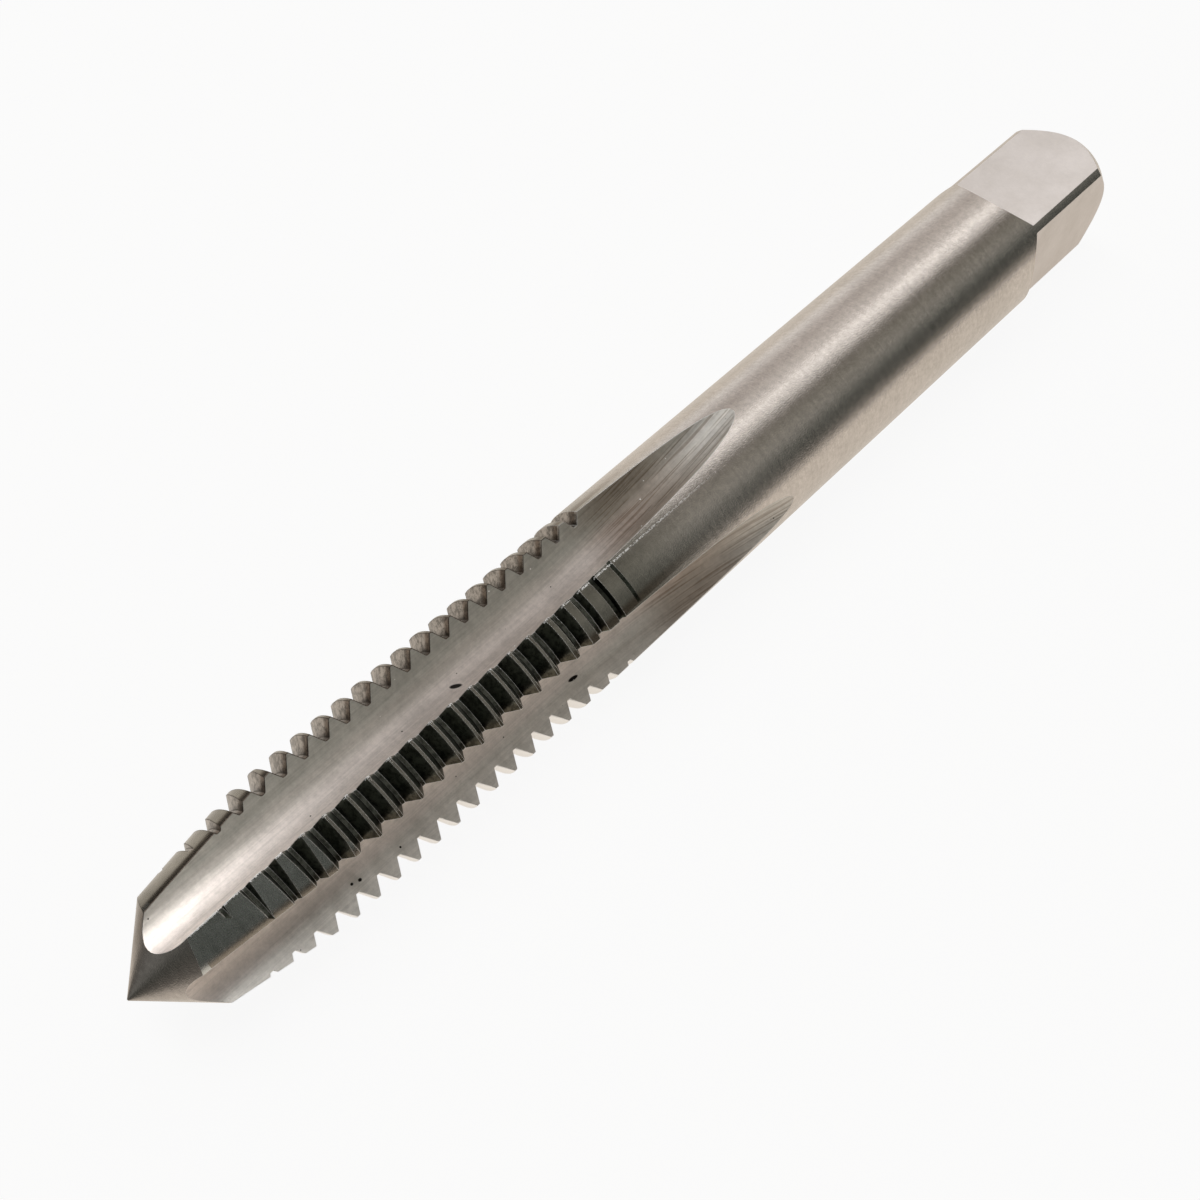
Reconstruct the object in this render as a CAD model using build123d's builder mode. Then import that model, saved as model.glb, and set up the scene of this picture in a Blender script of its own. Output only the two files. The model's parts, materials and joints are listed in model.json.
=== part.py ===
import math
import os

from build123d import *

# Whole tap, lying along X with its point at -X and one flat of the square facing up.
overall_length = 72.0
shank_radius = 4.0
end_face_radius = 2.85
end_chamfer_angle = 36.0

# Thread. The depth runs in from the crest, and the root flat lies along the axis.
thread_pitch = 1.25
thread_depth = 0.78
flank_angle = 30.0
root_flat = 0.2
full_thread_end = 23.725
washout_length = 4.9

# Point, and the tapered lead behind it. The relief is how far each land's cone sits off centre.
point_half_angle = 45.0
lead_start = 3.05
lead_angle = 9.1
lead_relief = 0.63

# Flutes. The opening is the angle between a flute's two walls, the turn is the first flute's roll.
flute_count = 4
flute_opening = 55.2
flute_core_radius = 1.78
flute_turn = -7.2
flute_straight = 22.0
flute_wheel_radius = 74.0

# Driving square.
square_across_flats = 6.0
square_length = 8.5
square_shoulder_angle = 42.0

axis_z = shank_radius
tip_x = -overall_length / 2.0
tip = (tip_x, 0.0, axis_z)
centre_line = Axis(tip, (1, 0, 0))
flute_spacing = 360.0 / flute_count
clear = 2.0


def rise(angle):
    return math.tan(math.radians(angle))


def rolls(count):
    return [Location(tip, (360.0 * i / count, 0, 0)) for i in range(count)]


# Blank: point, cylinder and end chamfer, turned about the centre line.
point_length = shank_radius / rise(point_half_angle)
chamfer_length = (shank_radius - end_face_radius) / rise(end_chamfer_angle)
with BuildPart() as blank:
    with BuildSketch(Plane.XZ):
        with BuildLine():
            Polyline(
                (tip_x, axis_z),
                (tip_x + point_length, axis_z + shank_radius),
                (tip_x + overall_length - chamfer_length, axis_z + shank_radius),
                (tip_x + overall_length, axis_z + end_face_radius),
                (tip_x + overall_length, axis_z),
                close=True,
            )
        make_face()
    revolve(axis=centre_line)

# Lead cutter for one land. Behind the cutting edge the lead is a cone whose centre is shifted
# sideways, ahead of that edge, so the land falls away towards its heel.
edge_radius = lead_start * rise(point_half_angle)
lead_length = (shank_radius - edge_radius) / rise(lead_angle)
cone_front = math.hypot(edge_radius, lead_relief)
cone_slope = (math.hypot(shank_radius, lead_relief) - cone_front) / lead_length
cone_end = lead_start + lead_length + (lead_relief + clear) / cone_slope
edge_roll = flute_turn + flute_opening / 2.0
sector = [math.radians(edge_roll + a) for a in (-flute_opening / 3.0, flute_spacing - 2.0 * flute_opening / 3.0)]
sector_reach = 2.0 * shank_radius + clear
shift = math.radians(edge_roll - 90.0)
cone_centre = Plane(
    origin=(0.0, lead_relief * math.cos(shift), lead_relief * math.sin(shift)),
    x_dir=(1, 0, 0),
    z_dir=(0, -1, 0),
)
with BuildPart() as lead_cutter:
    with BuildSketch(Plane.YZ):
        with BuildLine():
            Polyline(
                (0.0, 0.0),
                (sector_reach * math.cos(sector[0]), sector_reach * math.sin(sector[0])),
                (sector_reach * math.cos(sector[1]), sector_reach * math.sin(sector[1])),
                close=True,
            )
        make_face()
    extrude(amount=cone_end - clear / 2.0)
    with BuildSketch(cone_centre):
        with BuildLine():
            Polyline(
                (-clear, 0.0),
                (-clear, cone_front - (lead_start + clear) * cone_slope),
                (cone_end, cone_front + (cone_end - lead_start) * cone_slope),
                (cone_end, 0.0),
                close=True,
            )
        make_face()
    revolve(axis=Axis(cone_centre.origin, (1, 0, 0)), mode=Mode.SUBTRACT)

# Thread groove: a V swept along a helix that starts ahead of the lead. Past the last full turn the
# helix widens, and the groove runs out through the surface. Both meet in the open side of a flute.
root_radius = shank_radius - thread_depth
groove_height = thread_depth + clear / 16.0
groove_half = root_flat / 2.0 + groove_height * rise(flank_angle)
groove_turns = math.ceil((full_thread_end - lead_start) / thread_pitch)
washout_rise = thread_depth + clear / 40.0
washout_reach = washout_length * washout_rise / thread_depth
washout_angle = math.degrees(math.atan2(thread_depth, washout_length))
with BuildPart() as groove:
    with BuildLine() as thread_line:
        Helix(
            thread_pitch,
            groove_turns * thread_pitch,
            root_radius,
            center=(full_thread_end - groove_turns * thread_pitch, 0, 0),
            direction=(1, 0, 0),
        )
    with BuildSketch(Plane(thread_line.line @ 0, x_dir=(1, 0, 0), z_dir=(0, -1, 0))):
        with BuildLine():
            Polyline(
                (-root_flat / 2.0, 0.0),
                (root_flat / 2.0, 0.0),
                (groove_half, groove_height),
                (-groove_half, groove_height),
                close=True,
            )
        make_face()
    sweep(path=thread_line.line, is_frenet=True)
with BuildPart() as washout:
    with BuildLine() as washout_line:
        Helix(
            thread_pitch,
            washout_reach,
            root_radius,
            center=(full_thread_end, 0, 0),
            direction=(1, 0, 0),
            cone_angle=washout_angle,
        )
    with BuildSketch(Plane(washout_line.line @ 0, x_dir=(1, 0, 0), z_dir=(0, -1, 0))):
        with BuildLine():
            Polyline(
                (-root_flat / 2.0, 0.0),
                (root_flat / 2.0, 0.0),
                (groove_half, groove_height),
                (-groove_half, groove_height),
                close=True,
            )
        make_face()
    sweep(path=washout_line.line, is_frenet=True)

# Flute cutter: two walls that point at the centre line, joined by a round bottom, swept straight
# and then out along the curve of the grinding wheel.
wall = math.radians(flute_opening / 2.0)
bottom_centre = flute_core_radius / (1.0 - math.sin(wall))
wall_start = bottom_centre * math.cos(wall)
wall_end = shank_radius + clear
wheel_rise = shank_radius - flute_core_radius + clear / 4.0
wheel_angle = math.degrees(math.acos(1.0 - wheel_rise / flute_wheel_radius))
with BuildPart() as flute_cutter:
    with BuildLine(Plane.XY) as flute_line:
        straight = Line((-clear, flute_core_radius), (flute_straight, flute_core_radius))
        JernArc(straight @ 1, (1, 0), flute_wheel_radius, wheel_angle)
    with BuildSketch(Plane.YZ.offset(-clear)):
        with BuildLine():
            low = Line(
                (wall_end * math.cos(wall), -wall_end * math.sin(wall)),
                (wall_start * math.cos(wall), -wall_start * math.sin(wall)),
            )
            high = Line(
                (wall_start * math.cos(wall), wall_start * math.sin(wall)),
                (wall_end * math.cos(wall), wall_end * math.sin(wall)),
            )
            ThreePointArc(low @ 1, (flute_core_radius, 0.0), high @ 0)
            Line(high @ 1, low @ 0)
        make_face()
    sweep(path=flute_line.line)

# Cutter for one flat of the square, with its sloping shoulder.
flat_height = square_across_flats / 2.0
flat_start = overall_length - square_length
flat_reach = shank_radius + clear
shoulder_run = (flat_reach - flat_height) / rise(square_shoulder_angle)
with BuildPart() as flat_cutter:
    with BuildSketch(Plane.XZ):
        with BuildLine():
            Polyline(
                (flat_start, flat_height),
                (overall_length + clear, flat_height),
                (overall_length + clear, flat_reach),
                (flat_start - shoulder_run, flat_reach),
                close=True,
            )
        make_face()
    extrude(amount=flat_reach, both=True)

with BuildPart() as thread_tap:
    add(blank.part)
    with Locations(*rolls(flute_count)):
        add(lead_cutter.part, mode=Mode.SUBTRACT)
    with Locations(Location(tip, (flute_turn + flute_spacing, 0, 0))):
        add(groove.part, mode=Mode.SUBTRACT)
        add(washout.part, mode=Mode.SUBTRACT)
    with Locations(*[place * Location((0, 0, 0), (flute_turn, 0, 0)) for place in rolls(flute_count)]):
        add(flute_cutter.part, mode=Mode.SUBTRACT)
    with Locations(*rolls(4)):
        add(flat_cutter.part, mode=Mode.SUBTRACT)

os.makedirs("parts", exist_ok=True)
thread_tap.part.label = "thread_tap"
export_step(thread_tap.part, "parts/thread_tap.step")
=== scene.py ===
import json
import math

import bpy
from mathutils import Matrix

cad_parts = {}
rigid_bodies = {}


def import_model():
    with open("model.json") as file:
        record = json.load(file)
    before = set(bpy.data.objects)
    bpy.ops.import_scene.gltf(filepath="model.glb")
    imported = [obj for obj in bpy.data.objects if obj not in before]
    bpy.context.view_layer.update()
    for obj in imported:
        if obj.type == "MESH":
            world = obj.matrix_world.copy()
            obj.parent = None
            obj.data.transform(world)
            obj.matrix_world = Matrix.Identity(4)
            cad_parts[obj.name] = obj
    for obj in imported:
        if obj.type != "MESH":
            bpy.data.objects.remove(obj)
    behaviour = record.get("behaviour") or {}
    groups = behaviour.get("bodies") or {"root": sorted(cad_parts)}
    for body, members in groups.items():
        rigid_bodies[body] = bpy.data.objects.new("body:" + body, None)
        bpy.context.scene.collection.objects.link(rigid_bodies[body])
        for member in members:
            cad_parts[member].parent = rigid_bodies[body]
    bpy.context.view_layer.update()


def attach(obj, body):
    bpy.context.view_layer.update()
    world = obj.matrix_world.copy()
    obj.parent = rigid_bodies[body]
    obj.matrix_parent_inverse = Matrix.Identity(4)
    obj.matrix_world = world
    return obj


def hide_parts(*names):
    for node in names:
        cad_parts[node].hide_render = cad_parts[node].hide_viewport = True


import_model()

millimetre = 0.001
finishNames = ("shank", "lead", "thread", "flute", "flat")  # what each cutter leaves, by number


def addNode(tree, kind, feeds=None, **choices):
    node = tree.nodes.new(kind)
    for name, choice in choices.items():
        setattr(node, name, choice)
    for name, feed in (feeds or {}).items():
        socket = node.inputs[name]
        for value in feed if isinstance(feed, list) else [feed]:
            if isinstance(value, bpy.types.NodeSocket):
                tree.links.new(value, socket)
            else:
                socket.default_value = value
    return node


def calc(tree, operation, first, second=0.0, third=0.0):
    return addNode(tree, "ShaderNodeMath", {0: first, 1: second, 2: third}, operation=operation).outputs[0]


def maths(tree, *operations):
    return [lambda a, b, operation=operation: calc(tree, operation, a, b) for operation in operations]


def point(tree, x=0.0, y=0.0, z=0.0):
    return addNode(tree, "ShaderNodeCombineXYZ", {"X": x, "Y": y, "Z": z}).outputs[0]


tapSize = {  # millimetres and degrees, measured from the point
    "length": 72.0,
    "shankRadius": 4.0,
    "endFaceRadius": 2.85,
    "endChamferAngle": 36.0,
    "pitch": 1.25,
    "threadDepth": 0.78,
    "flankAngle": 30.0,
    "rootFlat": 0.2,
    "fullThreadEnd": 23.725,
    "washoutLength": 4.9,
    "lateTurns": 5.2,  # how far the thread runs on along one land
    "lateRise": 0.2,
    "pointHalfAngle": 45.0,
    "pointFlat": 0.04,
    "leadStart": 3.05,
    "leadAngle": 9.1,
    "leadRelief": 0.63,  # how far the lead's cones lie off the middle
    "fluteOpening": 55.2,
    "coreRadius": 1.78,
    "fluteTurn": -7.2,
    "fluteStraight": 22.0,
    "wheelRadius": 74.0,
    "squareAcross": 6.0,
    "squareLength": 8.5,
    "shoulderAngle": 42.0,
    "clear": 2.0,  # how far cutters reach past the bar
    "grooveOverlap": 0.125,  # the same for the groove, its run-out and the wheel
    "riseOverlap": 0.05,
    "wheelOverlap": 0.5,
    "wedgeShort": 1.0,
    "weld": 0.0001,
    "sharpEdge": 6.0,  # edges that turn more than this stay crisp
}
tapCuts = {"roundSides": 360, "turnSteps": 240, "flutePoints": 40, "wheelSteps": 36, "flutes": 4}


def buildTapTree():
    tree = bpy.data.node_groups.new("tapBody", "GeometryNodeTree")
    for name in tapSize:
        tree.interface.new_socket(name, in_out="INPUT", socket_type="NodeSocketFloat")
    for name in tapCuts:
        tree.interface.new_socket(name, in_out="INPUT", socket_type="NodeSocketInt")
    tree.interface.new_socket("steel", in_out="INPUT", socket_type="NodeSocketMaterial")
    tree.interface.new_socket("body", in_out="OUTPUT", socket_type="NodeSocketGeometry")
    size = tree.nodes.new("NodeGroupInput").outputs

    plus, minus, times, over = maths(tree, "ADD", "SUBTRACT", "MULTIPLY", "DIVIDE")
    root = lambda a: calc(tree, "SQRT", a)
    radians = lambda a: calc(tree, "RADIANS", a)
    tan = lambda a: calc(tree, "TANGENT", radians(a))
    sin = lambda a: calc(tree, "SINE", radians(a))
    cos = lambda a: calc(tree, "COSINE", radians(a))
    hypot = lambda a, b: root(plus(times(a, a), times(b, b)))
    at = lambda x=0.0, y=0.0, z=0.0: point(tree, x, y, z)
    add = lambda kind, feeds=None, **choices: addNode(tree, kind, feeds, **choices).outputs[0]

    def ring(radius, sides):
        return add("GeometryNodeCurvePrimitiveCircle", {"Resolution": sides, "Radius": radius})

    def corners(a, b, c, d):
        feeds = {"Point 1": a, "Point 2": b, "Point 3": c, "Point 4": d}
        return add("GeometryNodeCurvePrimitiveQuadrilateral", feeds, mode="POINTS")

    def moved(geometry, rotation=(0, 0, 0), shift=(0, 0, 0), scale=(1, 1, 1)):
        feeds = {"Geometry": geometry, "Rotation": rotation, "Translation": shift, "Scale": scale}
        return add("GeometryNodeTransform", feeds)

    def swept(path, outline, scale=1.0):
        feeds = {"Curve": path, "Profile Curve": outline, "Scale": scale, "Fill Caps": True}
        return add("GeometryNodeCurveToMesh", feeds)

    def marked(geometry, finish):
        # the finish number stays on the faces that the cutter leaves
        feeds = {"Geometry": geometry, "Name": "finish", "Value": float(finishNames.index(finish))}
        return add("GeometryNodeStoreNamedAttribute", feeds, data_type="FLOAT", domain="FACE")

    def track(count, place):
        # a path of so many stations, each where place puts it
        path = add("GeometryNodeCurvePrimitiveLine", {"End": (1, 0, 0)})
        path = add("GeometryNodeResampleCurve", {"Curve": path, "Count": count})
        path = add("GeometryNodeSetPosition", {"Geometry": path, "Position": place})
        return add("GeometryNodeSetCurveNormal", {"Curve": path, "Normal": (0, 0, 1)}, mode="FREE")

    def stations(places):
        # a straight path along X through (distance, radius) pairs, and the radius at each
        index = add("GeometryNodeInputIndex")
        x, r = 0.0, 0.0
        for i, (distance, radius) in enumerate(places):
            here = calc(tree, "COMPARE", index, float(i), 0.1)
            x = plus(x, times(here, distance))
            r = plus(r, times(here, radius))
        return track(len(places), at(x)), r

    def turnedBar(places):
        path, radius = stations(places)
        bar = swept(path, ring(1.0, size["roundSides"]), radius)
        return add("GeometryNodeMergeByDistance", {"Geometry": bar, "Distance": size["weld"]})

    def around(cutter, count, start=0.0):
        spots = add("GeometryNodePoints", {"Count": count})
        index = add("GeometryNodeInputIndex")
        roll = radians(plus(start, times(index, over(360.0, count))))
        feeds = {"Points": spots, "Instance": cutter, "Rotation": at(roll)}
        copies = add("GeometryNodeInstanceOnPoints", feeds)
        return add("GeometryNodeRealizeInstances", {"Geometry": copies})

    def cut(base, *cutters):
        feeds = {"Mesh 1": base, "Mesh 2": list(cutters)}
        return add("GeometryNodeMeshBoolean", feeds, operation="DIFFERENCE", solver="MANIFOLD")

    # blank: point, cylinder and end chamfer
    chamfer = over(minus(size["shankRadius"], size["endFaceRadius"]), tan(size["endChamferAngle"]))
    blank = marked(turnedBar([
        (0.0, size["pointFlat"]),
        (over(size["shankRadius"], tan(size["pointHalfAngle"])), size["shankRadius"]),
        (minus(size["length"], chamfer), size["shankRadius"]),
        (size["length"], size["endFaceRadius"]),
    ]), "shank")

    # lead cutter: what stands outside an off-centre cone, over one land and a third of the flutes beside it
    edgeRadius = times(size["leadStart"], tan(size["pointHalfAngle"]))
    leadLength = over(minus(size["shankRadius"], edgeRadius), tan(size["leadAngle"]))
    coneFront = hypot(edgeRadius, size["leadRelief"])
    coneSlope = over(minus(hypot(size["shankRadius"], size["leadRelief"]), coneFront), leadLength)
    coneRun = over(plus(size["leadRelief"], size["clear"]), coneSlope)
    coneEnd = plus(plus(size["leadStart"], leadLength), coneRun)
    coneBack = times(size["clear"], -1.0)
    edgeRoll = plus(size["fluteTurn"], over(size["fluteOpening"], 2.0))
    spacing = over(360.0, size["flutes"])
    lowRoll = minus(edgeRoll, over(size["fluteOpening"], 3.0))
    highRoll = minus(plus(edgeRoll, spacing), times(size["fluteOpening"], 2.0 / 3.0))
    reach = plus(times(size["shankRadius"], 2.0), size["clear"])
    outwards = lambda roll: at(times(reach, sin(roll)), times(reach, times(cos(roll), -1.0)))
    sector = corners((0, 0, 0), outwards(lowRoll), outwards(highRoll), at(size["weld"], size["weld"]))
    wedge = swept(stations([(0.0, 1.0), (minus(coneEnd, size["wedgeShort"]), 1.0)])[0], sector)
    cone = turnedBar([
        (coneBack, minus(coneFront, times(plus(size["leadStart"], size["clear"]), coneSlope))),
        (coneEnd, plus(coneFront, times(minus(coneEnd, size["leadStart"]), coneSlope))),
    ])
    aside = minus(edgeRoll, 90.0)
    offCentre = at(0.0, times(size["leadRelief"], cos(aside)), times(size["leadRelief"], sin(aside)))
    cone = moved(cone, shift=offCentre)
    leadCutters = around(marked(cut(wedge, cone), "lead"), size["flutes"])

    # thread groove, and the rising turns in which it runs out
    rootRadius = minus(size["shankRadius"], size["threadDepth"])
    rootHalf = over(size["rootFlat"], 2.0)
    grooveHeight = plus(size["threadDepth"], size["grooveOverlap"])
    grooveHalf = plus(rootHalf, times(grooveHeight, tan(size["flankAngle"])))
    groove = corners(
        at(0.0, rootHalf), at(0.0, times(rootHalf, -1.0)),
        at(grooveHeight, times(grooveHalf, -1.0)), at(grooveHeight, grooveHalf),
    )
    startRoll = radians(plus(plus(size["fluteTurn"], times(spacing, 2.0)), 90.0))

    def helix(turns, startRadius, endRadius, start):
        coil = add("GeometryNodeCurveSpiral", {
            "Resolution": size["turnSteps"], "Rotations": turns, "Start Radius": startRadius,
            "End Radius": endRadius, "Height": times(turns, size["pitch"]), "Reverse": True,
        })
        coil = add("GeometryNodeSetCurveNormal", {"Curve": coil}, mode="Z_UP")
        coil = marked(swept(coil, groove), "thread")
        coil = moved(coil, rotation=(0, math.pi / 2, 0), shift=at(start))
        return moved(coil, rotation=at(startRoll))

    turns = calc(tree, "CEIL", over(minus(size["fullThreadEnd"], size["leadStart"]), size["pitch"]))
    threadStart = minus(size["fullThreadEnd"], times(turns, size["pitch"]))
    thread = helix(turns, rootRadius, rootRadius, threadStart)
    rise = plus(size["threadDepth"], size["riseOverlap"])
    runOut = over(over(times(size["washoutLength"], rise), size["threadDepth"]), size["pitch"])
    washout = helix(runOut, rootRadius, plus(rootRadius, rise), size["fullThreadEnd"])

    # on one land of the far side the thread runs on, deeper than on the others
    longSector = swept(stations([(0.0, 1.0), (size["length"], 1.0)])[0], sector)
    runOn = helix(size["lateTurns"], rootRadius, plus(rootRadius, size["lateRise"]), size["fullThreadEnd"])
    both = {"Mesh 2": [runOn, longSector]}
    runOn = add("GeometryNodeMeshBoolean", both, operation="INTERSECT", solver="MANIFOLD")
    runOn = marked(runOn, "thread")

    # flute cutter: straight at first, and then out along the grinding wheel
    wheelRise = plus(minus(size["shankRadius"], size["coreRadius"]), size["wheelOverlap"])
    wheelReach = root(times(wheelRise, minus(times(size["wheelRadius"], 2.0), wheelRise)))
    index = add("GeometryNodeInputIndex")
    late = calc(tree, "GREATER_THAN", index, 0.5)
    step = times(minus(index, 1.0), over(wheelReach, size["wheelSteps"]))
    wheelHeight = root(minus(times(size["wheelRadius"], size["wheelRadius"]), times(step, step)))
    lift = minus(size["wheelRadius"], wheelHeight)
    x = plus(times(late, plus(size["fluteStraight"], step)), times(minus(1.0, late), coneBack))
    wheelPlace = at(x, 0.0, plus(size["coreRadius"], times(late, lift)))
    wheelTrack = track(plus(size["wheelSteps"], 2.0), wheelPlace)

    # its outline: two walls and a round bottom
    half = over(size["fluteOpening"], 2.0)
    bottomCentre = over(size["coreRadius"], minus(1.0, sin(half)))
    bottomRadius = times(bottomCentre, sin(half))
    wallEnd = plus(size["shankRadius"], size["clear"])
    arcIndex = add("GeometryNodeInputIndex")
    share = over(minus(arcIndex, 1.0), minus(size["flutePoints"], 1.0))
    arcAngle = plus(plus(half, 90.0), times(share, minus(180.0, times(half, 2.0))))
    atFirst = calc(tree, "LESS_THAN", arcIndex, 0.5)
    atLast = calc(tree, "GREATER_THAN", arcIndex, plus(size["flutePoints"], 0.5))
    outer = plus(atFirst, atLast)
    inner = minus(1.0, outer)
    side = minus(1.0, times(atLast, 2.0))
    up = times(inner, plus(bottomCentre, times(bottomRadius, cos(arcAngle))))
    up = plus(up, times(outer, times(wallEnd, cos(half))))
    across = times(inner, times(bottomRadius, sin(arcAngle)))
    across = plus(across, times(outer, times(side, times(wallEnd, sin(half)))))
    section = ring(1.0, plus(size["flutePoints"], 2.0))
    sectionPlace = at(minus(up, size["coreRadius"]), across)
    section = add("GeometryNodeSetPosition", {"Geometry": section, "Position": sectionPlace})
    fluteCutters = around(marked(swept(wheelTrack, section), "flute"), size["flutes"], size["fluteTurn"])

    # flats of the square, with their sloping shoulders
    flatHeight = over(size["squareAcross"], 2.0)
    flatStart = minus(size["length"], size["squareLength"])
    flatReach = plus(size["shankRadius"], size["clear"])
    flatEnd = plus(size["length"], size["clear"])
    slope = over(minus(flatReach, flatHeight), tan(size["shoulderAngle"]))
    flat = corners(
        at(flatStart, flatHeight), at(flatEnd, flatHeight),
        at(flatEnd, flatReach), at(minus(flatStart, slope), flatReach),
    )
    ends = {"Start": at(0.0, 0.0, times(flatReach, -1.0)), "End": at(0.0, 0.0, flatReach)}
    beam = add("GeometryNodeCurvePrimitiveLine", ends)
    beam = add("GeometryNodeSetCurveNormal", {"Curve": beam, "Normal": (1, 0, 0)}, mode="FREE")
    flatCutter = marked(swept(beam, flat), "flat")
    flatPairs = [around(flatCutter, 2, start) for start in (0.0, 90.0)]

    # one body, smooth but for its sharp edges, in metres with its middle over the origin
    body = cut(blank, leadCutters, thread, washout, runOn, fluteCutters, *flatPairs)
    crisp = calc(tree, "GREATER_THAN", add("GeometryNodeInputMeshEdgeAngle"), radians(size["sharpEdge"]))
    body = add("GeometryNodeSetShadeSmooth", {"Geometry": body, "Shade Smooth": True}, domain="FACE")
    edges = {"Geometry": body, "Selection": crisp, "Shade Smooth": False}
    body = add("GeometryNodeSetShadeSmooth", edges, domain="EDGE")
    middle = times(size["length"], -millimetre / 2)
    lying = at(middle, 0.0, times(size["shankRadius"], millimetre))
    body = moved(body, shift=lying, scale=(millimetre,) * 3)
    body = add("GeometryNodeRealizeInstances", {"Geometry": body})
    body = add("GeometryNodeSetMaterial", {"Geometry": body, "Material": size["steel"]})
    tree.links.new(body, tree.nodes.new("NodeGroupOutput").inputs["body"])
    return tree


def makeTap(material):
    tree = buildTapTree()
    holder = bpy.data.objects.new("tapHolder", bpy.data.meshes.new("tapHolder"))
    bpy.context.collection.objects.link(holder)
    modifier = holder.modifiers.new("tapBody", "NODES")
    modifier.node_group = tree
    inputs = [item for item in tree.interface.items_tree if item.in_out == "INPUT"]
    sockets = {item.name: item.identifier for item in inputs}
    for name, value in {**tapSize, **tapCuts}.items():
        modifier[sockets[name]] = value
    modifier[sockets["steel"]] = material
    finished = holder.evaluated_get(bpy.context.evaluated_depsgraph_get())
    mesh = bpy.data.meshes.new_from_object(finished)
    bpy.data.objects.remove(holder)
    tap = bpy.data.objects.new("tap", mesh)
    bpy.context.collection.objects.link(tap)
    print("tap body:", len(mesh.vertices), "points,", len(mesh.polygons), "faces")
    return tap


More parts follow.
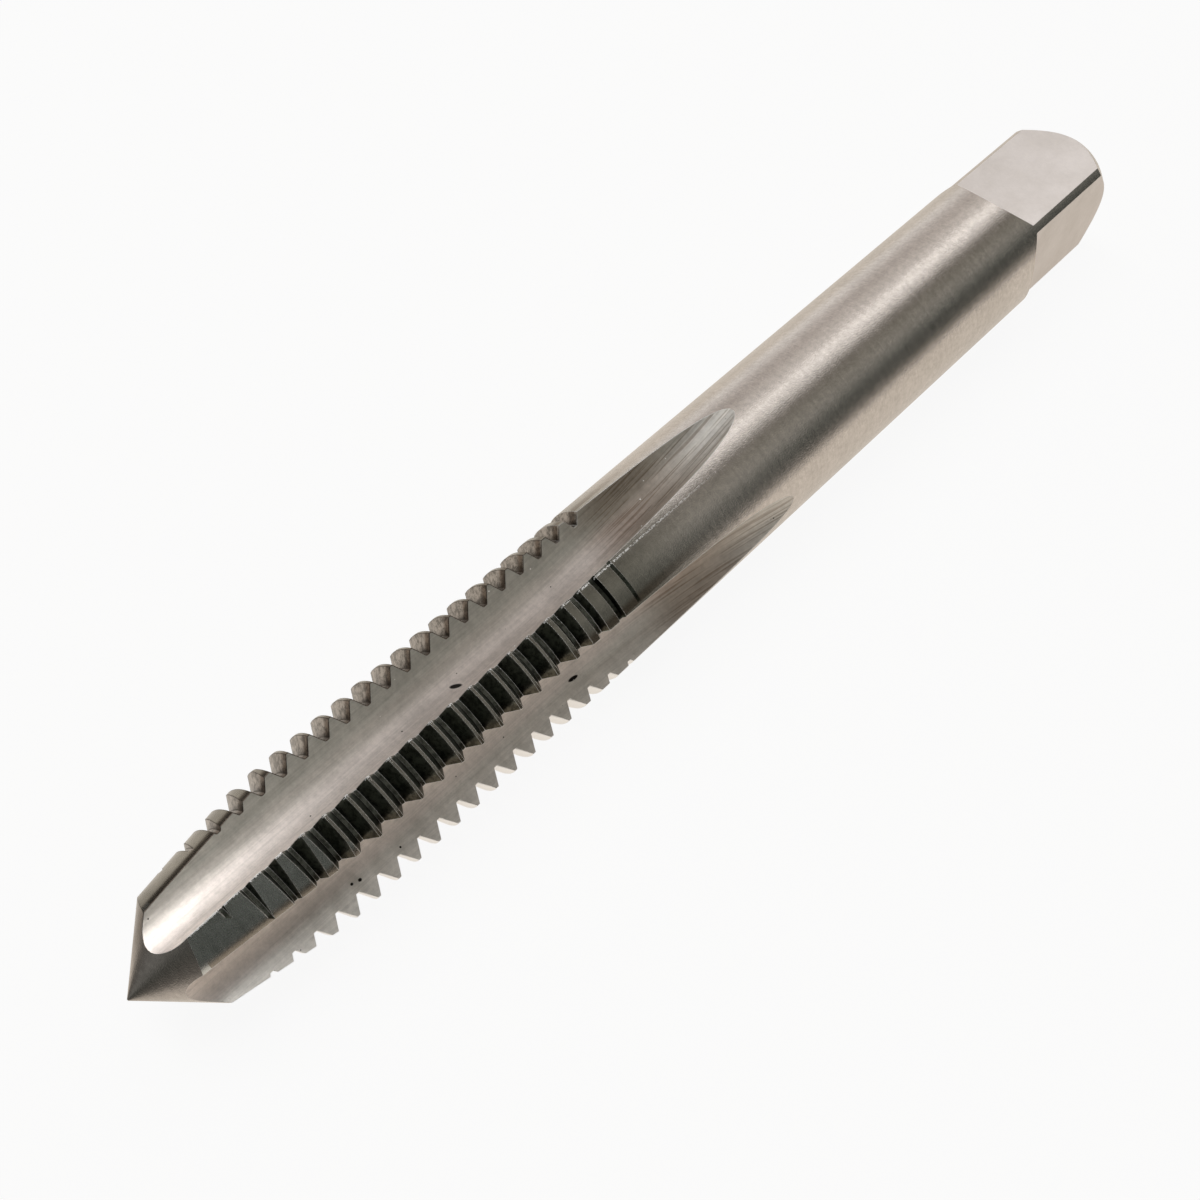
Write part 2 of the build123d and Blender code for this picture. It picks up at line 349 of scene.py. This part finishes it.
steelLook = {  # places in millimetres from the middle of the bar, angles in degrees
    # bright colour, dull colour, roughness, depth of the grinding lines
    "shank": ((0.63, 0.585, 0.545, 1), (0.57, 0.53, 0.49, 1), 0.21, 0.04),
    "lead": ((0.78, 0.79, 0.76, 1), (0.56, 0.57, 0.54, 1), 0.27, 0.03),
    "thread": ((0.38, 0.35, 0.32, 1), (0.16, 0.148, 0.132, 1), 0.3, 0.0),
    "flute": ((0.81, 0.735, 0.69, 1), (0.66, 0.60, 0.56, 1), 0.42, 0.4),
    "flat": ((0.71, 0.67, 0.645, 1), (0.65, 0.61, 0.58, 1), 0.36, 0.0),
    "finishSlack": 0.3,
    # noise: how dense, how many octaves, how rough
    "lineNoise": (4.5, 4.0, 0.7),
    "fineNoise": (12.15, 1.0, 0.5),
    "stainNoise": (0.35, 5.0, 0.6),
    "grainNoise": (14.0, 2.0, 0.5),
    "mottleNoise": (3.2, 6.0, 0.75),
    "lineStretch": 0.02,
    "lineSpread": 0.88,
    "stainShare": 0.4,
    "lineShare": 0.35,
    "fineShare": 0.25,
    "blotchRange": (0.42, 0.58),
    "cloudRange": (0.38, 0.62),
    "patchRange": (0.4, 0.58),
    "mottleRange": (0.3, 0.7, 0.86, 1.14),
    "mottleOnFlats": 0.3,
    "lineRoughness": 0.12,
    "grainRoughness": 0.1,
    "grainDepth": 0.05,
    "shankGrain": 0.2,
    "bumpHeight": 0.04,
    # the flutes where the wheel ran out
    "burnt": (0.68, 0.62, 0.575, 1),
    "burntFrom": (-7.5, -4.0),
    "burntTo": (-2.5, 2.5),
    "wheelLine": (0.71, 0.665, 0.63, 1),
    "wheelLineRange": (0.5, 0.38),
    # walls of the flutes
    "wall": (0.93, 0.98, 0.98, 1),
    "wallRadius": (2.3, 2.9),
    # painted shade on the far walls of the flutes
    "farWallShade": (0.74, 0.76, 0.74, 1),
    "farWallShare": (0.78, 0.97),
    "farWallSide": (0.0, 1.0),
    # lands
    "crest": (0.50, 0.52, 0.49, 1),
    "crestFrom": -32.95,
    "crestTo": (-8.0, -1.0),
    # painted shade along the heel of the lands, partly a brownish tone
    "heel": (0.50, 0.44, 0.39, 1),
    "heelStart": -0.387,
    "heelWidth": (0.04, 0.1),
    # painted shade on the far side of the lead and cone
    "farLeadShade": (0.42, 0.395, 0.365, 1),
    "farLeadSide": (0.5, 1.5),
    # thread
    # painted shade on the near thread, greener and darker, darker still on its last turns
    "nearThreadShade": (0.62, 0.70, 0.66, 1),
    "nearThreadShadeSide": (0.0, -1.0),
    "lastTint": (0.35, 0.37, 0.35, 1),
    "lastTurns": (-10.0, -8.4),
    # painted shade in the thread's corners, partly standing for oil
    "cornerShadeReach": 0.5,
    "cornerShadeSamples": 6,
    "cornerShadeRange": (0.2, 0.9, 0.12),
    # painted reflection: the thread's lower flanks are mixed towards white
    "lowerFlankLight": (1.0, 1.0, 1.0, 1),
    "lowerFlankLightBelow": (-0.9, -1.5),
    # edges: painted bright, a painted highlight that is partly wear, or painted dark on the far side, a
    # painted shade; the ranges are of how straight the surface is
    "edge": (0.92, 0.90, 0.87, 1),
    "edgeRoughness": 0.42,
    "edgeWidth": 0.055,
    "edgeSamples": 12,
    "edgeRange": (0.985, 0.93),
    # painted shade along the far side's edges
    "farEdgeShade": (0.10, 0.08, 0.065, 1),
    "farEdgeShadeWidth": 0.1,
    "farEdgeShadeSide": (1.0, 1.4),
    "farEdgeShadeEnd": (-6.0, -8.0),
    "rimFrom": (-6.0, -4.0),
    "rimTo": (14.0, 15.0),
    "rimRange": (0.9985, 0.98),
    # painted highlight: light rims along the flute ends
    "rimSheen": 0.55,
    # specks, painted glints and pits
    "speckSpacing": 0.8,
    "speckRange": (0.06, 0.045),
    "lightSpecks": 0.5,
    "darkSpecks": 0.3,
    "glintRoll": 69.0,
    "glintWidth": 0.65,
    "glintRadius": 3.85,
    "glintFade": (-9.0, 2.0),
    "glintRange": (0.47, 0.53),
    # colour of the light specks, and of the painted rims and painted glints
    "dustAndSheen": (0.95, 0.94, 0.92, 1),
    "dustRoughness": 0.8,
    "pitColour": (0.03, 0.027, 0.024, 1),
    "pitDepth": 0.4,
    "pitRange": (1.15, 0.85),
    "pits": [  # place, turn, half length, half width
        ((-16.487, 0.062, 1.796), -38, 0.30, 0.13),
        ((-11.252, -2.477, -0.848), -6, 0.29, 0.075),
        ((-25.863, -2.582, -0.947), 0, 0.07, 0.06),
        ((-25.463, -2.676, -0.993), 0, 0.09, 0.07),
        ((-23.113, -2.805, -1.043), 20, 0.05, 0.05),
    ],
}


def mixed(tree, share, first, second, kind="RGBA", blend="MIX"):
    low, high, result = {"FLOAT": (2, 3, 0), "VECTOR": (4, 5, 1), "RGBA": (6, 7, 2)}[kind]
    feeds = {0: share, low: first, high: second}
    return addNode(tree, "ShaderNodeMix", feeds, data_type=kind, blend_type=blend).outputs[result]


def ranged(tree, value, low, high, least=0.0, most=1.0, curve="SMOOTHSTEP", clamp=True):
    feeds = {"Value": value, "From Min": low, "From Max": high, "To Min": least, "To Max": most}
    return addNode(tree, "ShaderNodeMapRange", feeds, interpolation_type=curve, clamp=clamp).outputs[0]


def emptyMaterial(name):
    material = bpy.data.materials.new(name)
    material.use_nodes = True
    material.node_tree.nodes.clear()
    return material, material.node_tree


def makeSteel():
    look = steelLook
    material, tree = emptyMaterial("groundSteel")
    plus, minus, times, larger = maths(tree, "ADD", "SUBTRACT", "MULTIPLY", "MAXIMUM")
    above, below = maths(tree, "GREATER_THAN", "LESS_THAN")
    add = lambda kind, feeds=None, **choices: addNode(tree, kind, feeds, **choices).outputs
    tinted = lambda colour, share, tint: mixed(tree, share, colour, tint, blend="MULTIPLY")
    number = lambda share, first, second: mixed(tree, share, first, second, kind="FLOAT")
    vector = lambda share, first, second: mixed(tree, share, first, second, kind="VECTOR")
    smooth = lambda value, limits: ranged(tree, value, *limits)
    linear = lambda value, limits: ranged(tree, value, *limits, curve="LINEAR")
    without = lambda value: minus(1.0, value)
    timesPlus = lambda a, b, c: calc(tree, "MULTIPLY_ADD", a, b, c)

    def noise(where, settings):
        scale, detail, rough = settings
        feeds = {"Vector": where, "Scale": scale, "Detail": detail, "Roughness": rough}
        return add("ShaderNodeTexNoise", feeds)["Fac"]

    # millimetres from the middle of the bar, and the roll round its axis
    toMiddle = {"Scale": (1 / millimetre,) * 3, "Location": (0, 0, -tapSize["shankRadius"])}
    spot = add("ShaderNodeMapping", {"Vector": add("ShaderNodeTexCoord")["Object"], **toMiddle})[0]
    x, y, z = add("ShaderNodeSeparateXYZ", {"Vector": spot})
    roll = calc(tree, "ARCTAN2", z, times(y, -1.0))
    radius = calc(tree, "SQRT", plus(times(y, y), times(z, z)))
    normal = add("ShaderNodeNewGeometry")["Normal"]
    finish = add("ShaderNodeAttribute", attribute_name="finish")["Fac"]
    slack = look["finishSlack"]
    isOf = {name: calc(tree, "COMPARE", finish, float(i), slack) for i, name in enumerate(finishNames)}

    # grinding lines run round the bar, but in the flutes they follow the wheel
    stretch = look["lineStretch"]
    acrossBar = add("ShaderNodeMapping", {"Vector": spot, "Scale": (1.0, stretch, stretch)})[0]
    wheel = tapSize["wheelRadius"]
    firstFlute = math.radians(-tapSize["fluteTurn"])
    run = larger(plus(x, tapSize["length"] / 2 - tapSize["fluteStraight"]), 0.0)
    lift = minus(wheel, calc(tree, "SQRT", timesPlus(times(run, -1.0), run, wheel * wheel)))
    nearest = calc(tree, "ROUND", times(minus(roll, firstFlute), 2 / math.pi))
    middle = timesPlus(nearest, math.pi / 2, firstFlute)
    lowered = timesPlus(lift, calc(tree, "COSINE", middle), y)
    alongBar = point(tree, times(x, stretch), lowered, minus(z, times(lift, calc(tree, "SINE", middle))))
    lined = vector(isOf["flute"], acrossBar, alongBar)
    lines = noise(lined, look["lineNoise"])
    fine = noise(lined, look["fineNoise"])
    stain = noise(spot, look["stainNoise"])
    grain = noise(spot, look["grainNoise"])
    mottle = noise(spot, look["mottleNoise"])
    patch = smooth(mottle, look["patchRange"])
    mottle = ranged(tree, mottle, *look["mottleRange"], curve="LINEAR", clamp=False)
    cloud = linear(stain, look["cloudRange"])
    marks = plus(times(lines, look["lineShare"]), times(fine, look["fineShare"]))
    blotch = linear(plus(times(stain, look["stainShare"]), marks), look["blotchRange"])
    blotch = number(larger(isOf["flat"], isOf["lead"]), blotch, cloud)
    blotch = number(isOf["thread"], blotch, patch)

    colour, roughness, depth = None, 0.0, 0.0
    for name, chosen in isOf.items():
        bright, dull, rough, line = look[name]
        own = mixed(tree, blotch, dull, bright)
        colour = own if colour is None else mixed(tree, chosen, colour, own)
        roughness = timesPlus(chosen, rough, roughness)
        depth = timesPlus(chosen, line, depth)
    roughness = timesPlus(minus(lines, 0.5), look["lineRoughness"], roughness)
    roughness = timesPlus(minus(grain, 0.5), look["grainRoughness"], roughness)
    colour = tinted(colour, timesPlus(isOf["flat"], look["mottleOnFlats"] - 1.0, 1.0), mottle)

    # the flutes are duller where the wheel ran out
    late = times(smooth(x, look["burntFrom"]), isOf["flute"])
    burnt = times(late, without(smooth(x, look["burntTo"])))
    colour = tinted(colour, burnt, look["burnt"])
    colour = tinted(colour, times(late, smooth(fine, look["wheelLineRange"])), look["wheelLine"])

    # their walls are greyer than their bottoms
    colour = tinted(colour, times(smooth(radius, look["wallRadius"]), isOf["flute"]), look["wall"])

    # the lands are darker than the shank; along the heel they are brownish and painted darker, a painted
    # shade for the shadowed floor they mirror
    ahead = above(x, look["crestFrom"])
    atPoint = minus(isOf["shank"], ahead)
    ahead = times(ahead, without(smooth(x, look["crestTo"])))
    colour = tinted(colour, times(ahead, isOf["shank"]), look["crest"])
    quarter = calc(tree, "FRACT", timesPlus(roll, 2 / math.pi, look["heelStart"]))
    heel = times(times(without(smooth(quarter, look["heelWidth"])), ahead), without(isOf["flute"]))
    colour = tinted(colour, heel, look["heel"])

    # painted shade: the far sides of flutes, lead and cone are darker, and the near thread darker and
    # greener
    farWallShade = times(smooth(quarter, look["farWallShare"]), smooth(y, look["farWallSide"]))
    colour = tinted(colour, times(farWallShade, isOf["flute"]), look["farWallShade"])
    # painted shade: the near thread is tinted darker and greener, and its last turns darker still
    nearThread = times(smooth(y, look["nearThreadShadeSide"]), isOf["thread"])
    colour = tinted(colour, nearThread, look["nearThreadShade"])
    lastTurns = times(nearThread, smooth(x, look["lastTurns"]))
    colour = tinted(colour, lastTurns, look["lastTint"])
    farLeadShade = times(smooth(y, look["farLeadSide"]), larger(isOf["lead"], atPoint))
    colour = tinted(colour, farLeadShade, look["farLeadShade"])

    # the thread's corners are darkened, a painted shade that partly stands for oil, and its lower flanks are
    # painted near white, a painted reflection of the floor below
    nearby = {"Distance": look["cornerShadeReach"] * millimetre}
    openness = add("ShaderNodeAmbientOcclusion", nearby, samples=look["cornerShadeSamples"], only_local=True)["AO"]
    cornerShade = larger(linear(openness, look["cornerShadeRange"]), without(isOf["thread"]))
    colour = tinted(colour, 1.0, cornerShade)
    # painted reflection of the bright floor on the thread's lower flanks
    lowerFlankLight = times(smooth(z, look["lowerFlankLightBelow"]), isOf["thread"])
    colour = mixed(tree, lowerFlankLight, colour, look["lowerFlankLight"])

    # sharp edges are painted bright, a painted highlight that is partly wear, and those of the far side are
    # painted dark, a painted shade
    # painted shade: edges on the far side are darkened
    farSide = times(linear(y, look["farEdgeShadeSide"]), linear(x, look["farEdgeShadeEnd"]))
    width = number(farSide, look["edgeWidth"] * millimetre, look["farEdgeShadeWidth"] * millimetre)
    rounded = add("ShaderNodeBevel", {"Radius": width}, samples=look["edgeSamples"])[0]
    straight = add("ShaderNodeVectorMath", {0: rounded, 1: normal}, operation="DOT_PRODUCT")["Value"]
    # painted highlight: light rims on the shank's side of the flute ends
    rim = times(smooth(x, look["rimFrom"]), without(smooth(x, look["rimTo"])))
    rim = times(rim, linear(straight, look["rimRange"]))
    # painted highlight along sharp edges, partly wear
    rubbedAndSheen = larger(times(linear(straight, look["edgeRange"]), without(lastTurns)), rim)
    colour = mixed(tree, rubbedAndSheen, colour, mixed(tree, farSide, look["edge"], look["farEdgeShade"]))
    roughness = number(rubbedAndSheen, roughness, look["edgeRoughness"])

    # light and dark specks in the flutes
    cells = {"Vector": spot, "Scale": 1.0 / look["speckSpacing"], "Randomness": 1.0}
    speck = add("ShaderNodeTexVoronoi", cells)
    kind = add("ShaderNodeSeparateXYZ", {"Vector": speck["Color"]})["X"]
    small = times(linear(speck["Distance"], look["speckRange"]), isOf["flute"])
    dotted = times(small, below(kind, look["darkSpecks"]))
    dustAndSheenMask = larger(times(small, above(kind, look["lightSpecks"])), times(rim, look["rimSheen"]))

    # painted glints: white dots where the near land's crests meet the upper flute
    glintRoll, glintWidth = (math.radians(look[name]) for name in ("glintRoll", "glintWidth"))
    onCrest = larger(above(radius, look["glintRadius"]), isOf["lead"])
    onCrest = times(onCrest, without(smooth(x, look["glintFade"])))
    glint = times(calc(tree, "COMPARE", roll, glintRoll, glintWidth), onCrest)
    dustAndSheenMask = larger(dustAndSheenMask, times(glint, smooth(grain, look["glintRange"])))

    # small oval pits
    for place, turn, length, breadth in look["pits"]:
        pitSize = (length, breadth, look["pitDepth"])
        oval = {"Location": place, "Rotation": (0, 0, math.radians(turn)), "Scale": pitSize}
        local = add("ShaderNodeMapping", {"Vector": spot, **oval}, vector_type="TEXTURE")[0]
        distance = add("ShaderNodeVectorMath", {0: local}, operation="LENGTH")["Value"]
        dotted = larger(dotted, linear(distance, look["pitRange"]))
    # light specks, painted rim highlights and painted glints share one colour
    colour = mixed(tree, dustAndSheenMask, mixed(tree, dotted, colour, look["pitColour"]), look["dustAndSheen"])
    roughness = number(larger(dustAndSheenMask, dotted), roughness, look["dustRoughness"])

    grainHeight = timesPlus(isOf["shank"], look["shankGrain"], look["grainDepth"])
    height = timesPlus(grain, grainHeight, times(lines, depth))
    relief = {"Height": height, "Strength": 1.0, "Distance": look["bumpHeight"] * millimetre}
    bump = add("ShaderNodeBump", relief)[0]
    roundBar = add("ShaderNodeVectorMath", {0: normal, 1: (1, 0, 0)}, operation="CROSS_PRODUCT")[0]
    shader = add("ShaderNodeBsdfPrincipled", {
        "Base Color": colour,
        "Metallic": without(dustAndSheenMask),
        "Roughness": roughness,
        "Normal": vector(rubbedAndSheen, bump, rounded),
        "Anisotropic": look["lineSpread"],
        "Tangent": vector(larger(isOf["flute"], rubbedAndSheen), (1, 0, 0), roundBar),
    })[0]
    addNode(tree, "ShaderNodeOutputMaterial", {"Surface": shader})
    print("steel:", len(tree.nodes), "nodes")
    return material


steel = makeSteel()
tap = makeTap(steel)
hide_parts("thread_tap")
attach(tap, "root")


studioLook = {  # metres and degrees
    "floorWidth": 6.0,
    "floorPaint": (0.82, 0.80, 0.775, 1),
    "floorGleam": (0.86, 0.79, 0.705, 1),
    "floorSeen": 0.92,
    "floorMirrored": 0.9,
    # painted shadow on the floor as the metal mirrors it
    "floorFade": (("X", -0.052, -0.030), ("Y", -0.085, -0.03)),
    "floorLeast": 0.1,
    "lens": 46.8168,
    "clipStart": 0.005,
    "cameraPlace": (-0.0412513, -0.0309171, 0.0668949),
    "cameraTurn": (35.83858, -0.38161, -47.75887),
    "lampPlace": (-0.034, 0.11, 0.48),
    "lampTurn": (-13, 0, 0),
    "lampSize": (0.13, 0.48),
    "lampPower": 1.15,
    # room light: degrees from the near side over the top to the far side, and the light from there
    "shankEndLight": [
        (0, 0.18, 0.168, 0.155), (10, 0.055, 0.06, 0.053), (24, 0.08, 0.088, 0.08),
        (37, 0.25, 0.25, 0.232), (48, 0.33, 0.32, 0.29), (64, 0.24, 0.23, 0.2),
        (77, 0.22, 0.2, 0.18), (86, 0.72, 0.70, 0.68), (97, 1.15, 1.12, 1.1),
        (106, 1.6, 1.56, 1.53), (116, 0.76, 0.72, 0.70), (128, 0.78, 0.74, 0.7),
        (145, 0.56, 0.51, 0.48), (158, 0.74, 0.70, 0.67), (178, 1.15, 1.13, 1.12),
    ],
    "pointEndLight": [
        (0, 0.62, 0.595, 0.555), (55, 0.62, 0.595, 0.555), (86, 0.2, 0.193, 0.187),
        (105, 0.44, 0.425, 0.41), (124, 0.2, 0.193, 0.187), (145, 0.2, 0.193, 0.187),
        (160, 0.35, 0.33, 0.31), (178, 0.75, 0.72, 0.69),
    ],
    "aheadLight": [
        (0, 0.05, 0.055, 0.05), (60, 0.055, 0.06, 0.055), (110, 0.12, 0.124, 0.118),
        (145, 0.2, 0.203, 0.195), (175, 0.1, 0.1, 0.098),
    ],
    # how far a direction leans to the shank's end where one light gives way to the next
    "pointToShank": (0.28, 0.5),
    "aheadToPoint": (0.08, 0.36),
    "white": (1, 1, 1, 1),
}


def makeFloor():
    look = studioLook
    mesh = bpy.data.meshes.new("floor")
    half = look["floorWidth"] / 2
    square = [(-half, -half, 0), (half, -half, 0), (half, half, 0), (-half, half, 0)]
    mesh.from_pydata(square, [], [(0, 1, 2, 3)])
    floor = bpy.data.objects.new("floor", mesh)
    bpy.context.collection.objects.link(floor)
    material, tree = emptyMaterial("palePaper")
    times, larger = maths(tree, "MULTIPLY", "MAXIMUM")
    path = addNode(tree, "ShaderNodeLightPath").outputs
    seen, mirrored = path["Is Camera Ray"], path["Is Glossy Ray"]
    # painted shadow: the mirrored floor fades out ahead of the point and on the near side
    place = addNode(tree, "ShaderNodeTexCoord").outputs["Object"]
    spot = addNode(tree, "ShaderNodeSeparateXYZ", {"Vector": place}).outputs
    fade = [ranged(tree, spot[axis], low, high, look["floorLeast"]) for axis, low, high in look["floorFade"]]
    glow = addNode(tree, "ShaderNodeEmission", {
        "Color": mixed(tree, seen, look["floorGleam"], look["white"]),
        "Strength": larger(times(*fade), seen),
    }).outputs[0]
    paper = addNode(tree, "ShaderNodeBsdfDiffuse", {"Color": look["floorPaint"]}).outputs[0]
    share = larger(times(seen, look["floorSeen"]), times(mirrored, look["floorMirrored"]))
    surface = addNode(tree, "ShaderNodeMixShader", {0: share, 1: paper, 2: glow}).outputs[0]
    addNode(tree, "ShaderNodeOutputMaterial", {"Surface": surface})
    mesh.materials.append(material)


def makeRoom():
    # soft room light that changes from the near side over the top to the far side
    look = studioLook
    world = bpy.data.worlds.new("room")
    bpy.context.scene.world = world
    world.use_nodes = True
    tree = world.node_tree
    tree.nodes.clear()
    direction = addNode(tree, "ShaderNodeTexCoord").outputs["Generated"]
    x, y, z = addNode(tree, "ShaderNodeSeparateXYZ", {"Vector": direction}).outputs
    angle = calc(tree, "ARCTAN2", z, calc(tree, "MULTIPLY", y, -1.0))
    turn = calc(tree, "DIVIDE", angle, math.pi)

    def ramp(stops):
        node = addNode(tree, "ShaderNodeValToRGB", {0: turn})
        node.color_ramp.interpolation = "EASE"
        while len(node.color_ramp.elements) < len(stops):
            node.color_ramp.elements.new(0.5)
        for element, (degrees, *level) in zip(node.color_ramp.elements, stops):
            element.position = degrees / 180
            element.color = (*level, 1)
        return node.outputs[0]

    toShank = ranged(tree, x, *look["pointToShank"])
    light = mixed(tree, toShank, ramp(look["pointEndLight"]), ramp(look["shankEndLight"]))
    light = mixed(tree, ranged(tree, x, *look["aheadToPoint"]), ramp(look["aheadLight"]), light)
    seen = addNode(tree, "ShaderNodeLightPath").outputs["Is Camera Ray"]
    light = mixed(tree, seen, light, look["white"])
    background = addNode(tree, "ShaderNodeBackground", {"Color": light, "Strength": 1.0}).outputs[0]
    addNode(tree, "ShaderNodeOutputWorld", {"Surface": background})


def placed(name, data, place, turn):
    thing = bpy.data.objects.new(name, data)
    bpy.context.collection.objects.link(thing)
    thing.location = place
    thing.rotation_euler = [math.radians(angle) for angle in turn]
    return thing


def makeLamp():
    lamp = bpy.data.lights.new("topLamp", "AREA")
    lamp.shape = "RECTANGLE"
    lamp.size, lamp.size_y = studioLook["lampSize"]
    lamp.energy = studioLook["lampPower"]
    placed("topLamp", lamp, studioLook["lampPlace"], studioLook["lampTurn"])


def makeCamera():
    camera = bpy.data.cameras.new("camera")
    camera.lens = studioLook["lens"]
    camera.clip_start = studioLook["clipStart"]
    bpy.context.scene.camera = placed("camera", camera, studioLook["cameraPlace"], studioLook["cameraTurn"])


makeFloor()
makeRoom()
makeLamp()
makeCamera()
bpy.context.scene.view_settings.view_transform = "Standard"
print("studio ready")
